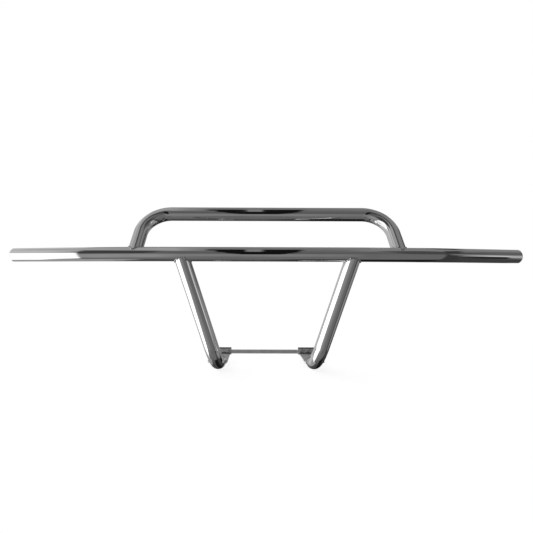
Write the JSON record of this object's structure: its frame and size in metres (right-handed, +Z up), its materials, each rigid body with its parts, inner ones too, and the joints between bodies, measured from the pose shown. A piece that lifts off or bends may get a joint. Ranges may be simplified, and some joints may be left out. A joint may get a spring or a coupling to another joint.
{
  "type": "front grille guard",
  "caption": "Polished tubular front grille guard: a long bar with swept-back ends, an upper hoop and two legs that bolt to the chassis.",
  "frame": {"origin": "centre of the four chassis bolt holes, on the seating plane under the bracket plates", "axes": "+X to the right of a viewer who looks at the guard from the front, +Y towards the vehicle, +Z up"},
  "size_m": [1.5842, 0.3717, 0.5052],
  "materials": {
    "polished_steel": "mirror polished",
    "bracket_steel": "dull, as rolled",
    "tie_bar_steel": "satin",
    "weld_metal": "rippled weld bead"
  },
  "bodies": {
    "root": {"main_bar": "polished_steel", "end_cap_left": "polished_steel", "end_cap_right": "polished_steel", "upper_hoop": "polished_steel", "leg_left": "polished_steel", "leg_right": "polished_steel", "bracket_plate_left": "bracket_steel", "bracket_plate_right": "bracket_steel", "bracket_flange_left": "bracket_steel", "bracket_flange_right": "bracket_steel", "tie_bar": "tie_bar_steel", "cap_weld_left": "weld_metal", "cap_weld_right": "weld_metal", "hoop_weld_left": "weld_metal", "hoop_weld_right": "weld_metal", "leg_weld_left": "weld_metal", "leg_weld_right": "weld_metal", "slot_weld_left": "weld_metal", "slot_weld_right": "weld_metal", "flange_weld_left": "weld_metal", "flange_weld_right": "weld_metal", "tie_weld_left": "weld_metal", "tie_weld_right": "weld_metal"}
  },
  "joints": []
}
